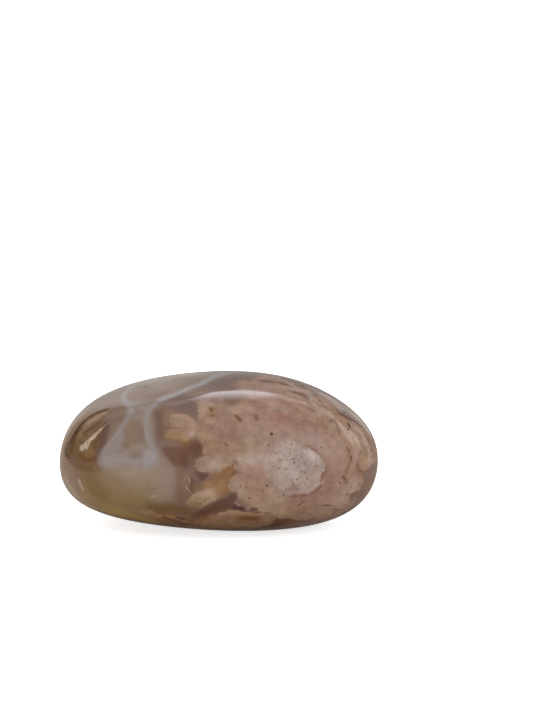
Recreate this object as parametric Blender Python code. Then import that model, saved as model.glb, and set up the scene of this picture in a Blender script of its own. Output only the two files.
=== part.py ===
"""A polished flower agate palm stone, one solid piece, lying on its underside.

Run with: blender --background --python part.py

The stone is a tumbled pebble that was lapped and polished by hand. It starts from an ellipsoid. Each lap is
a soft flat that faces one way and lies so far from the stone's heart. Where laps meet they roll into each
other, so the stone has no edge anywhere. One small spot on the underside is worn flat, and the stone rests
on it. Metres, +Z up, the face with the flower towards -Y, the origin at the middle of the resting plane.
"""

from math import cos, radians, sin

import bmesh
import bpy
from mathutils import Vector

MM = 0.001

# Half the length, depth and height of the pebble that the laps are cut from.
PEBBLE = Vector((38.4, 21.7, 17.5)) * MM

# The direction that each lap faces, as azimuth from +X and elevation in degrees, and its distance from the
# heart in mm.
LAPS = {
    "right_end": (0, -6, 33.7),
    "right_shoulder": (0, 58, 21.9),
    "right_under": (0, -74, 23.6),
    "underside": (180, -85, 15.1),
    "left_under": (180, -51, 32.6),
    "left_low": (180, -24, 39.3),
    "left_end": (180, -2, 38.9),
    "left_shoulder": (180, 41, 30.8),
    "top": (90, 80, 18.8),
    "top_front": (-90, 74, 16.6),
    "top_front_left": (-140, 71, 16.5),
    "face": (-90, 1, 26.4),
    "face_left": (-140, 21, 26.9),
    "face_right": (-40, 7, 32.5),
    "face_right_high": (-45, 51, 27.6),
    "back": (100, 12, 23.5),
    "back_left": (140, 8, 31.0),
    "back_right": (50, -8, 30.0),
    "back_under": (80, -50, 20.0),
}
ROLL = 7  # how tightly the laps roll into each other: higher is tighter
REST_CUT = 0.35 * MM  # how deep the resting spot is worn into the underside
MESH_LEVELS = 5  # 20 triangles, each split in four this many times less one

AGATE = (0.33, 0.25, 0.21, 1.0)
AGATE_ROUGHNESS = 0.12


def clear_scene():
    for obj in list(bpy.data.objects):
        bpy.data.objects.remove(obj)


def lap_direction(azimuth, elevation):
    a, e = radians(azimuth), radians(elevation)
    return Vector((cos(a) * cos(e), sin(a) * cos(e), sin(e)))


LAP_PLANES = [(lap_direction(azimuth, elevation), away * MM) for azimuth, elevation, away in LAPS.values()]


def surface_point(direction):
    """Where the line from the heart along this direction leaves the stone."""
    inside_pebble = Vector(part / half for part, half in zip(direction, PEBBLE)).length
    inside_laps = [max(0.0, direction.dot(facing) / distance) for facing, distance in LAP_PLANES]
    rolled = sum(share**ROLL for share in [inside_pebble, *inside_laps])
    return direction / rolled ** (1 / ROLL)


def wear_resting_spot(bm):
    """Cuts the small flat that the stone rests on."""
    level = min(v.co.z for v in bm.verts) + REST_CUT
    everything = bm.verts[:] + bm.edges[:] + bm.faces[:]
    cut = bmesh.ops.bisect_plane(
        bm, geom=everything, plane_co=(0, 0, level), plane_no=(0, 0, -1), clear_outer=True, dist=REST_CUT / 10
    )
    rim = [item for item in cut["geom_cut"] if isinstance(item, bmesh.types.BMEdge)]
    bmesh.ops.contextual_create(bm, geom=rim)


def stand_on_origin(bm):
    """Moves the stone so that the origin is at the middle of its resting plane."""
    middle = []
    for axis in range(3):
        places = [v.co[axis] for v in bm.verts]
        middle.append((min(places) + max(places)) / 2 if axis < 2 else min(places))
    bmesh.ops.translate(bm, verts=bm.verts, vec=-Vector(middle))


def agate_material():
    material = bpy.data.materials.new("flower_agate")
    material.use_nodes = True
    shader = material.node_tree.nodes["Principled BSDF"]
    shader.inputs["Base Color"].default_value = AGATE
    shader.inputs["Roughness"].default_value = AGATE_ROUGHNESS
    shader.inputs["Metallic"].default_value = 0.0
    return material


def make_stone():
    bm = bmesh.new()
    bmesh.ops.create_icosphere(bm, subdivisions=MESH_LEVELS, radius=1.0)
    for vert in bm.verts:
        vert.co = surface_point(vert.co.normalized())
    wear_resting_spot(bm)
    stand_on_origin(bm)
    bmesh.ops.recalc_face_normals(bm, faces=bm.faces)
    mesh = bpy.data.meshes.new("stone")
    bm.to_mesh(mesh)
    bm.free()
    mesh.shade_smooth()
    mesh.materials.append(agate_material())
    stone = bpy.data.objects.new("stone", mesh)
    bpy.context.scene.collection.objects.link(stone)
    return stone


def main():
    clear_scene()
    make_stone()


main()
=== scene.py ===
"""Looks of the flower agate palm stone: its fine polished skin, its markings, the studio and the camera.

The skin is the CAD pebble again, worked out from the same laps on a fine grid. The markings are colour
inside the stone. Each one is a solid, such as a ball, a cloud or a bent sheet, that the skin cuts through.
Its distance or strength is kept on the skin's points, and the material turns it into colour and adds noise.
Some of that colour is painted light: shade in the creases and on the plumes' lumps and edges, and a few
painted highlights and glints.

Lengths are millimetres from the stone's heart unless a name ends in _M. Places on the front are given by
front(x, y, ...): the points that the camera sees at these pixels of the 533 x 711 picture. Places anywhere
are given by around(azimuth, elevation, ...), where azimuth 0 is +X, 90 is the back and -90 is the front.
"""

from math import cos, pi, radians, sin

import bpy
import numpy as np
from mathutils import Matrix, Vector, noise


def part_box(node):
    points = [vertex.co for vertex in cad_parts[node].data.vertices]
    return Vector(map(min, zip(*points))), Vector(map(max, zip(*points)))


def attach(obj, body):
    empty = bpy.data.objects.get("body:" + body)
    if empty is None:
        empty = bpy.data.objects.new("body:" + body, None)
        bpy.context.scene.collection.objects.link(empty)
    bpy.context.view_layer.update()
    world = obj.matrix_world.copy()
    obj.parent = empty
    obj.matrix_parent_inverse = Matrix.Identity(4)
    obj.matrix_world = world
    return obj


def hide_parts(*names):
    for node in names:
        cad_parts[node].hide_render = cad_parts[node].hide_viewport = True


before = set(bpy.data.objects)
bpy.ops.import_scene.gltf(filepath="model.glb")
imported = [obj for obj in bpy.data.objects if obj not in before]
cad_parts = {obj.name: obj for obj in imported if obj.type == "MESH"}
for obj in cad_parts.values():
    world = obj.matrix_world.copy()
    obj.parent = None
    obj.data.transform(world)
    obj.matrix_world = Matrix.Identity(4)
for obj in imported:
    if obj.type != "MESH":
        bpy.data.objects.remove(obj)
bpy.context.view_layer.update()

MM = 0.001
UP = np.array([0.0, 0.0, 1.0])


def put(name, data):
    """A new object in the scene."""
    made = bpy.data.objects.new(name, data)
    bpy.context.scene.collection.objects.link(made)
    return made


# ---------------------------------------------------------------- the pebble

PEBBLE = np.array([38.4, 21.7, 17.5])  # half the length, depth and height that the laps are cut from

# Each lap's direction, as azimuth and elevation in degrees, and its distance from the heart.
LAPS = {
    "right_end": (0, -6, 33.7),
    "right_shoulder": (0, 58, 21.9),
    "right_under": (0, -74, 23.6),
    "underside": (180, -85, 15.1),
    "left_under": (180, -51, 32.6),
    "left_low": (180, -24, 39.3),
    "left_end": (180, -2, 38.9),
    "left_shoulder": (180, 41, 30.8),
    "top": (90, 80, 18.8),
    "top_front": (-90, 74, 16.6),
    "top_front_left": (-140, 71, 16.5),
    "face": (-90, 1, 26.4),
    "face_left": (-140, 21, 26.9),
    "face_right": (-40, 7, 32.5),
    "face_right_high": (-45, 51, 27.6),
    "back": (100, 12, 23.5),
    "back_left": (140, 8, 31.0),
    "back_right": (50, -8, 30.0),
    "back_under": (80, -50, 20.0),
}
ROLL = 7  # how tightly the laps roll into each other
GRID = (184, 122, 88)  # cells of the skin along X, Y and Z
ROUND_TO = 5  # decimals to which the grid's corners are rounded, so that shared ones are merged


def direction(azimuth, elevation):
    a, e = radians(azimuth), radians(elevation)
    return np.array([cos(a) * cos(e), sin(a) * cos(e), sin(e)])


def unit(vectors):
    return vectors / np.linalg.norm(vectors, axis=-1, keepdims=True)


LAP_FACINGS = np.array([direction(azimuth, elevation) for azimuth, elevation, _ in LAPS.values()])
LAP_DISTANCES = np.array([distance for _, _, distance in LAPS.values()])


def gauge(points):
    """1 on the pebble's surface, and less or more in proportion to the distance from the heart."""
    in_pebble = np.linalg.norm(points / PEBBLE, axis=1)
    in_laps = np.maximum(0.0, points @ LAP_FACINGS.T / LAP_DISTANCES)
    return (in_pebble**ROLL + (in_laps**ROLL).sum(axis=1)) ** (1 / ROLL)


def onto_surface(directions):
    return directions / gauge(directions)[:, None]


def box_sphere(cells):
    """Unit directions and four-cornered faces of a box of cells, puffed out to the pebble's proportions."""
    corners, faces = [], []
    for axis in range(3):
        across, up = (axis + 1) % 3, (axis + 2) % 3
        for side in (-1, 1):
            s = np.tan(np.linspace(-pi / 4, pi / 4, cells[across] + 1))
            t = np.tan(np.linspace(-pi / 4, pi / 4, cells[up] + 1))
            ss, tt = np.meshgrid(s, t, indexing="ij")
            places = np.empty(ss.shape + (3,))
            places[..., axis], places[..., across], places[..., up] = side, ss, tt
            index = np.arange(ss.size).reshape(ss.shape) + sum(len(c) for c in corners)
            quads = [index[:-1, :-1], index[1:, :-1], index[1:, 1:], index[:-1, 1:]]
            corners.append(places.reshape(-1, 3))
            faces.append(np.stack(quads[::side], axis=-1).reshape(-1, 4))
    corners, faces = np.concatenate(corners) * PEBBLE, np.concatenate(faces)
    rounded = np.round(corners, ROUND_TO)
    _, first, merged = np.unique(rounded, axis=0, return_index=True, return_inverse=True)
    return unit(corners[first]), merged.reshape(-1)[faces]


skin_directions, skin_faces = box_sphere(GRID)
skin = onto_surface(skin_directions)

box_low, box_high = (np.array(corner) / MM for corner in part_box("stone"))
HEART = (box_low + box_high) / 2 - (skin.min(axis=0) + skin.max(axis=0)) / 2
HEART[2] = box_high[2] - skin[:, 2].max()
REST_LEVEL = box_low[2] - HEART[2]  # the plane of the worn spot that the stone rests on

# ---------------------------------------------------------------- the camera

PICTURE = (533, 711)  # its width and height in pixels
HEART_PIXEL = (218.7, 450.7)
FOCAL_PIXELS = 2322.0
CAMERA_DISTANCE = 450.0
CAMERA_ELEVATION = radians(10.0)
SENSOR = 36.0
CLIP_NEAR_M, CLIP_FAR_M = 0.01, 20.0
CLEAR = 60.0  # a ray enters the pebble less than this far in front of the heart

look = np.array([0.0, cos(CAMERA_ELEVATION), -sin(CAMERA_ELEVATION)])
right = np.array([1.0, 0.0, 0.0])
above = np.cross(right, look)
eye = -look * CAMERA_DISTANCE


def pixel_rays(pixels):
    """Unit directions from the eye through pixels of the picture."""
    offset = (np.asarray(pixels, float) - HEART_PIXEL) / FOCAL_PIXELS
    return unit(look + offset[:, :1] * right - offset[:, 1:] * above)


def front(*numbers):
    """The points of the pebble that the camera sees at pixels, given as x and y in turn.

    A pixel just off the pebble gives the point that its ray comes closest to.
    """
    rays = pixel_rays(np.reshape(numbers, (-1, 2)))

    def level(depth):
        return gauge(eye + depth[:, None] * rays)

    deepest = -(eye * rays).sum(axis=1)
    for _ in range(40):  # small steps towards the place where the ray lies deepest in the pebble
        deepest = deepest + np.where(level(deepest - 0.5) < level(deepest + 0.5), -0.25, 0.25)
    outside, inside = np.full(len(rays), CAMERA_DISTANCE - CLEAR), deepest
    for _ in range(30):  # halvings of the stretch in which the ray enters
        middle = (outside + inside) / 2
        entered = level(middle) < 1
        outside, inside = np.where(entered, outside, middle), np.where(entered, middle, inside)
    depth = np.where(level(deepest) > 1, deepest, inside)
    return onto_surface(eye + depth[:, None] * rays)


def around(*numbers):
    """The points of the pebble in directions from its heart, given as azimuth and elevation in turn."""
    return onto_surface(np.array([direction(*angles) for angles in np.reshape(numbers, (-1, 2))]))


def make_camera():
    data = bpy.data.cameras.new("camera")
    data.sensor_width = SENSOR
    data.lens = FOCAL_PIXELS / max(PICTURE) * SENSOR
    data.clip_start, data.clip_end = CLIP_NEAR_M, CLIP_FAR_M
    camera = put("camera", data)
    facing = Matrix((right, above, -look)).transposed().to_4x4()
    to_heart = Vector((HEART_PIXEL[0] - PICTURE[0] / 2, PICTURE[1] / 2 - HEART_PIXEL[1], -FOCAL_PIXELS))
    turn = to_heart.normalized().rotation_difference(Vector((0, 0, -1))).to_matrix().to_4x4()
    camera.matrix_world = Matrix.Translation(Vector(HEART + eye) * MM) @ facing @ turn
    bpy.context.scene.camera = camera


make_camera()

# ---------------------------------------------------------------- tools for the markings

BEND_WAVES = 0.5  # per mm: the slow bending that keeps drawn outlines natural
BEND_MM = 0.16
BEND_SEED = 3
REACH = 4.0  # how far from an outline its distance is worked out; beyond that it only counts as far
STROKE_REACH = 1.2  # the same for lines


def light(colour):
    """Light values, as a shader takes them, of a colour given as a picture shows it, in 0 to 255."""
    shares = np.asarray(colour, float) / 255
    return np.where(shares <= 0.04045, shares / 12.92, ((shares + 0.055) / 1.055) ** 2.4)


def bent(points):
    """Points moved by smooth noise, which the seed keeps the same in each run."""
    noise.seed_set(BEND_SEED)
    shift = [noise.noise_vector(Vector(p) * BEND_WAVES + Vector((BEND_SEED, 0, 0))) for p in points]
    return points + BEND_MM * np.array(shift)


marked = bent(skin)  # where on the markings each point of the skin lies
marked_directions = unit(marked / PEBBLE)


def smooth_step(value, low, high):
    t = np.clip((value - low) / (high - low), 0, 1)
    return t * t * (3 - 2 * t)


def join(*stretches):
    return np.concatenate(stretches)


def highest(*values):
    return np.max(values, axis=0)


def curve_through(points, per_span=4, closed=False):
    """More points on a smooth curve through these ones."""
    if closed:
        ends = np.concatenate([points[-1:], points, points[:2]])
    else:
        ends = np.concatenate([points[:1] * 2 - points[1:2], points, points[-1:] * 2 - points[-2:-1]])
    out = []
    for a, b, c, d in zip(ends, ends[1:], ends[2:], ends[3:]):
        for t in np.arange(per_span) / per_span:
            bend = 2 * b + (c - a) * t + (2 * a - 5 * b + 4 * c - d) * t**2 + (3 * b - a - 3 * c + d) * t**3
            out.append(bend / 2)
    out.append(out[0] if closed else points[-1])
    return np.array(out)


def away_from(path, reach=REACH):
    """Where each marked point lies by a chain of straight stretches.

    Gives its distance, how far along the chain its nearest place is, from 0 to 1, how far the point is to
    the left, and how far it is past the nearer end.
    """
    distance, aside = np.full((2, len(marked)), float(reach))
    along, past = np.zeros((2, len(marked)))
    low, high = path.min(axis=0) - reach, path.max(axis=0) + reach
    close = np.flatnonzero(np.all((marked > low) & (marked < high), axis=1))
    upright = unit(marked[close])
    for k, (start, end) in enumerate(zip(path, path[1:])):
        span, offset = end - start, marked[close] - start
        place = offset @ span / max(span @ span, 1e-9)
        share = np.clip(place, 0, 1)
        away = np.linalg.norm(offset - share[:, None] * span, axis=1)
        closer = away < distance[close]
        left = np.cross(span, upright[closer])
        left /= np.maximum(np.linalg.norm(left, axis=1, keepdims=True), 1e-9)
        ends = (k == 0) & (place < 0) | (k == len(path) - 2) & (place > 1)
        index = close[closer]
        distance[index] = away[closer]
        along[index] = (k + share[closer]) / (len(path) - 1)
        aside[index] = (offset[closer] * left).sum(axis=1)
        past[index] = np.where(ends, np.abs(place - share) * np.linalg.norm(span), 0)[closer]
    return distance, along, aside, past


def on_chart(directions, middle):
    """Places of directions on a flat map round a middle direction, true along lines from it."""
    across = unit(np.cross(middle, UP + 0.01))
    upward = np.cross(across, middle)
    angle = np.arccos(np.clip(directions @ middle, -1, 1))
    scale = angle / np.maximum(np.sin(angle), 1e-6)
    return np.stack([directions @ across * scale, directions @ upward * scale], axis=1)


def depth_in(outline):
    """How deep each marked point lies inside a closed outline on the skin, in mm, negative outside."""
    loop = curve_through(outline, closed=True)
    facing = unit(loop / PEBBLE)
    middle = unit(facing.mean(axis=0))
    corners, spots = on_chart(facing, middle), on_chart(marked_directions, middle)
    crossings = np.zeros(len(spots), int)
    for (x0, y0), (x1, y1) in zip(corners, corners[1:]):
        spans = (y0 > spots[:, 1]) != (y1 > spots[:, 1])
        if y0 != y1:
            crossings += spans & (spots[:, 0] < (x1 - x0) * (spots[:, 1] - y0) / (y1 - y0) + x0)
    return away_from(loop)[0] * np.where(crossings % 2, 1, -1)


def within(outline, softness=0.3):
    """1 inside an outline and 0 outside, turning over a width of twice the softness."""
    return smooth_step(depth_in(outline), -softness, softness)


def near(places, radius):
    """1 on a place or a chain of places, fading with distance: about a third at the radius."""
    path = curve_through(places) if len(places) > 1 else np.repeat(places, 2, axis=0)
    end = 2.5 * radius
    distance = away_from(path, end)[0]
    return smooth_step(end - distance, 0, 0.5 * radius) * np.exp(-((distance / radius) ** 2))


def strokes(*rows):
    """How far each marked point lies beside the nearest of some lines, and that line's half width there.

    A row is a line's places and its half widths from one end to the other. Points past an end, or far off
    to the side, get a half width of 0.
    """
    least, beside = np.full((2, len(marked)), STROKE_REACH)
    half = np.zeros(len(marked))
    for places, *widths in rows:
        distance, along, aside, past = away_from(curve_through(places), STROKE_REACH)
        wide = np.interp(along, np.linspace(0, 1, len(widths)), widths)
        wide = wide * smooth_step(past, 0.3, 0.0) * smooth_step(distance, 1.1, 0.7)
        closer = distance < least
        least = np.where(closer, distance, least)
        beside, half = np.where(closer, aside, beside), np.where(closer, wide, half)
    return beside, half


def hill(places, left, right):
    """1 on a line, fading over these lengths in mm on its left and on its right."""
    distance, _, aside, past = away_from(curve_through(places))
    length = np.where(aside > 0, left, right)
    return np.exp(-((distance / length) ** 2)) * smooth_step(past, 1.5, 0.0)


def paint(base, *layers):
    """Light values on each point of the skin: a base colour, with other colours laid over it in turn.

    A layer is each point's share and a colour. Or it is a radius in mm, a colour, and the x and y in turn
    of a place or a chain of places on the front that the colour fades away from.
    """
    colours = np.tile(light(base), (len(skin), 1))
    for first, colour, *pixels in layers:
        share = near(front(*pixels), first) if pixels else first
        colours += share[:, None] * (light(colour) - colours)
    return colours


# ---------------------------------------------------------------- the markings: plumes

# The big flower: from its top left over the top to the back, round the right end and along the bottom.
FLOWER = join(
    front(
        197, 402, 203, 398.5, 212, 397, 220, 398, 226, 401.5, 231, 405, 236, 402.5, 241, 399, 246, 396,
        241, 391.5, 234, 387, 235, 381.5, 243, 379.5, 250, 380.5, 256, 376, 262, 371.8,
    ),
    around(50, 50, 60, 38, 50, 26, 38, 30, 28, 24, 20, 32),
    front(309, 385.8, 311, 390, 315, 393.5, 322, 397, 329, 401.5, 335, 407, 338.5, 411),
    front(345, 415.3, 351, 419.5, 357, 422.8, 362.5, 427.5, 368.5, 433, 372.5, 438, 375, 443),
    around(5, 9, 11, 11, 19, 5, 16, -2, 21, -9, 11, -13, 2, -7),
    front(
        376, 462, 371, 466, 365, 470, 362.5, 474, 364, 480, 363, 487, 358, 491, 351, 493.5, 349, 500,
        346, 506, 341, 509, 335, 509.5, 334, 514, 328, 517.5, 320, 519, 316, 517, 308, 519.5, 298, 520,
        290, 518.5, 282, 519, 276, 517.5, 271, 514, 266, 511.5, 258.7, 511.7, 252, 510.8, 245.3, 509.9,
        244, 507, 240.8, 505.9, 234.8, 503.6, 235.5, 501, 238.5, 497, 236, 494, 231, 491.5, 228.5, 487,
        229.5, 482, 233, 477, 236, 472, 232, 466, 226, 467, 220, 471.5, 212, 473.5, 204, 471.8,
        198.6, 469.5, 195.5, 465.5, 196, 461.2, 199, 457.8, 203, 455.5, 202, 450.7, 203, 446.2, 200, 442,
        197, 439, 191, 440.8, 187, 443.5, 182.4, 443.5, 176, 442, 170, 440.5, 165, 438, 164.5, 434,
        167, 430.5, 169.5, 428, 166.5, 425, 165.5, 421, 167, 417, 170, 414.5, 176.2, 413, 181.5, 413.4,
        187, 415, 192.5, 417.8, 196.5, 420, 197.5, 415, 197, 410, 196.6, 406,
    ),
)
# Smaller plumes that lie deeper: a tan mass, its cream lobe, a ledge along the bottom and crumbs beside it.
NOTCH = front(250.5, 508.6, 253.2, 507.4, 257.5, 508.4, 256.5, 510.5, 252, 512, 249.5, 510.5)
AMBER_MASS = front(
    210, 475.5, 217, 471, 226, 464, 238, 463, 241, 472, 236, 480, 233, 488, 231, 491.5, 227, 495,
    221, 497.5, 214, 494, 205, 490, 197, 489.5, 195, 489.5, 200, 485, 206, 480,
)
CREAM_LOBE = front(
    194, 493.3, 197.7, 490.2, 204.9, 488.4, 210.3, 488.8, 214.8, 492, 219.2, 494.6, 221, 497.3,
    217.5, 499.4, 211.2, 501.8, 206.7, 505.4, 201.3, 507.7, 195, 507.4, 189.6, 505.4, 186, 502.7,
    187.8, 499.1, 191.4, 495.5,
)
BOTTOM_LEDGE = join(
    front(
        186, 521, 195, 518.6, 203, 515.8, 213.9, 514.2, 221, 511.9, 228.2, 509.6, 236.3, 510.3,
        245.3, 511.2, 255.2, 511.9, 264, 513, 274, 516, 274, 520, 266, 524.5,
    ),
    around(-78, -50, -96, -56, -112, -48),
)
CRUMBS = front(141, 511.5, 146, 510, 152, 510, 157, 512.5, 163, 515.5, 158, 517, 151, 515.5, 145, 514)
SMALL_CRUMBS = front(164, 514.5, 170, 514.5, 176, 516.5, 174, 518.5, 168, 517.5)
# Plumes on the sides that the picture doesn't show.
BACK_FLOWER = around(
    152, 34, 140, 42, 122, 47, 108, 52, 98, 44, 104, 30, 96, 16, 104, 2, 98, -12, 110, -24, 124, -16,
    136, -26, 148, -14, 146, 0, 156, 8, 150, 20, 160, 27,
)
BACK_LEDGE = around(88, -22, 74, -14, 60, -20, 44, -16, 32, -28, 40, -40, 58, -44, 76, -38, 90, -34)
UNDER_FLOWER = around(
    -30, -52, -8, -44, 14, -40, 30, -56, 60, -66, 100, -70, 150, -74, -160, -80, -100, -76, -58, -62,
)

lowest_plume = highest(*map(depth_in, (AMBER_MASS, BOTTOM_LEDGE, CRUMBS, SMALL_CRUMBS)))
flower = np.minimum(depth_in(FLOWER), -depth_in(NOTCH))
cream_lobe = depth_in(CREAM_LOBE)
hidden = [depth_in(outline) for outline in (BACK_FLOWER, BACK_LEDGE, UNDER_FLOWER)]
plume = highest(flower, cream_lobe, lowest_plume, *hidden)
# where a plume fades into the clear stone, or the clear stone covers its edge, instead of ending crisply
blur = highest(
    near(front(214, 396, 224, 399, 233, 401, 242, 396), 2.2),
    near(front(238, 383, 248, 379, 260, 373), 3.0), near(front(176, 443, 190, 442, 198, 439), 1.0) * 0.7,
    near(front(172, 413, 169, 423, 165, 436, 172, 441), 1.3) * 0.28,
    near(front(200, 486, 208, 479, 216, 474), 1.0) * 0.5,
    near(front(232, 484, 229, 492, 222, 497), 0.9) * 0.4,
    near(front(311, 390, 322, 397, 334, 406), 1.2) * 0.6, near(front(145, 511, 160, 515), 1.0) * 0.3,
    near(front(186, 519, 205, 515), 1.6) * 0.5,
    near(front(109, 413, 102, 424, 99, 440, 97, 458), 1.2) * 0.8,
    smooth_step(highest(*hidden), -2.0, -0.5) * 0.25,
)

# The white heart of the flower, crisp on its lower right, soft on the other sides.
WHITE = front(
    268, 456, 273, 449, 279, 443, 287, 440, 295, 441, 301, 445.5, 305, 448.8, 309, 448.7, 313.2, 451,
    318.6, 455, 322.6, 459.6, 325, 463.5, 325.5, 467.4, 324.5, 471.5, 321.4, 473.8, 319.9, 477.7,
    320.4, 482.8, 317.3, 486.9, 312.2, 490.7, 306, 494.1, 303, 493.8, 296.8, 493.4, 290.6, 494.2,
    284.5, 494.8, 277, 492, 272, 486, 270, 477, 267, 466,
)
BACK_WHITE = around(134, 28, 124, 36, 114, 28, 112, 14, 122, 4, 134, 8, 138, 18)
white = np.maximum(depth_in(WHITE), depth_in(BACK_WHITE))
white_blur = highest(
    near(front(298, 438, 284, 439, 272, 447, 264, 458, 263, 470, 268, 482, 272, 491), 3.0),
    near(around(134, 28, 138, 14), 3.0),
)

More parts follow.
